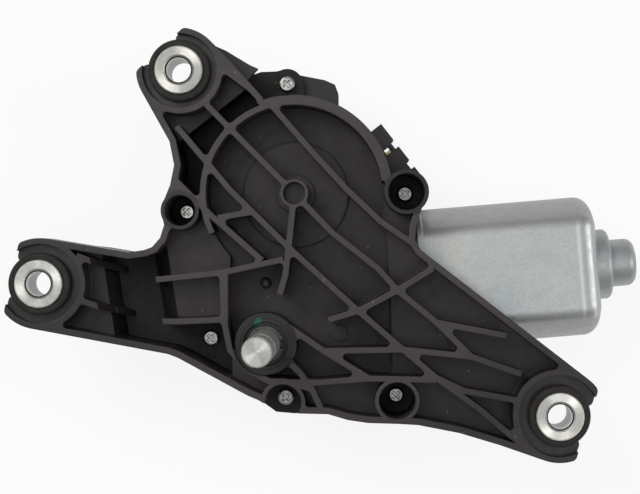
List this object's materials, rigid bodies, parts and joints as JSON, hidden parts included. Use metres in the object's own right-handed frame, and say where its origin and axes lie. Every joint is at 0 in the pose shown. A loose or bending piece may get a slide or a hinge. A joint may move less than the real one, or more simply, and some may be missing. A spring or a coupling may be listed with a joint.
{
  "type": "wiper motor",
  "caption": "Rear-window wiper gear motor: ribbed plastic bracket with forked rubber-mounted feet, gear case, flat-sided motor can, connector and output shaft.",
  "frame": {"origin": "where the output shaft's axis meets the plane of the three sleeves' front faces", "axes": "+Z runs out along the output shaft, +X towards the motor can, +Y towards the upper foot"},
  "size_m": [0.2203, 0.1476, 0.092],
  "materials": {
    "bracket_plastic": "moulded glass-filled plastic, satin",
    "case_plastic": "moulded plastic, satin",
    "gasket_rubber": "soft black rubber",
    "grommet_rubber": "matt brownish black rubber",
    "sleeve_metal": "turned aluminium, bright",
    "screw_steel": "zinc-plated steel",
    "can_steel": "galvanised deep-drawn steel",
    "shaft_steel": "ground steel",
    "seal_rubber": "moulded rubber",
    "bush_bronze": "sintered bronze",
    "inner_steel": "plain steel",
    "wheel_plastic": "white acetal",
    "contact_brass": "plain brass",
    "core_iron": "stacked laminations",
    "winding_copper": "enamelled copper wire",
    "magnet_ferrite": "sintered ferrite",
    "brush_plate_plastic": "moulded phenolic",
    "brush_carbon": "pressed carbon"
  },
  "bodies": {
    "housing": {"front_bracket": "bracket_plastic", "gear_housing": "case_plastic", "connector_housing": "case_plastic", "cover_gasket": "gasket_rubber", "grommet_top": "grommet_rubber", "grommet_left": "grommet_rubber", "grommet_right": "grommet_rubber", "sleeve_top": "sleeve_metal", "sleeve_left": "sleeve_metal", "sleeve_right": "sleeve_metal", "cover_screws": "screw_steel", "motor_can": "can_steel", "shaft_seal": "seal_rubber", "output_bush": "bush_bronze", "lower_output_bush": "bush_bronze", "can_bearing": "bush_bronze", "worm_bearing": "bush_bronze", "end_bearing": "bush_bronze", "wheel_axle": "inner_steel", "brush_springs": "inner_steel", "thrust_plug": "inner_steel", "park_fingers": "contact_brass", "terminals": "contact_brass", "magnets": "magnet_ferrite", "brush_plate": "brush_plate_plastic", "brushes": "brush_carbon"},
    "armature": {"armature_shaft": "inner_steel", "armature_core": "core_iron", "armature_windings": "winding_copper", "commutator": "winding_copper"},
    "drive_wheel": {"worm_wheel": "wheel_plastic", "crank_pin": "inner_steel", "contact_disc": "contact_brass"},
    "output": {"output_shaft": "shaft_steel", "output_pinion": "inner_steel", "retaining_ring": "shaft_steel"},
    "guide": {"guide_plate": "inner_steel", "link_pin": "inner_steel"},
    "link": {"toothed_link": "inner_steel"}
  },
  "joints": [
    {"name": "armature_spin", "type": "hinge", "parent": "housing", "child": "armature", "pos_m": [0.0127, 0.01802, -0.037], "axis": [0.9965, 0.0837, 0], "continuous": true},
    {"name": "worm_wheel_spin", "type": "hinge", "parent": "housing", "child": "drive_wheel", "pos_m": [0.0099, 0.0514, -0.037], "axis": [0, 0, 1], "continuous": true},
    {"name": "output_sweep", "type": "hinge", "parent": "housing", "child": "output", "pos_m": [0, 0, 0], "axis": [0, 0, 1], "range_deg": [0, 110]},
    {"name": "guide_swing", "type": "hinge", "parent": "housing", "child": "guide", "pos_m": [0, 0, -0.0237], "axis": [0, 0, 1], "range_deg": [0, 44]},
    {"name": "link_swing", "type": "hinge", "parent": "guide", "child": "link", "pos_m": [0.02, 0, -0.027], "axis": [0, 0, 1], "range_deg": [-44, 0]}
  ],
  "couplings": [
    {"joint": "worm_wheel_spin", "follows": "armature_spin", "ratio": -0.017544},
    {"joint": "guide_swing", "follows": "output_sweep", "ratio": 0.4},
    {"joint": "link_swing", "follows": "output_sweep", "ratio": -0.4}
  ]
}
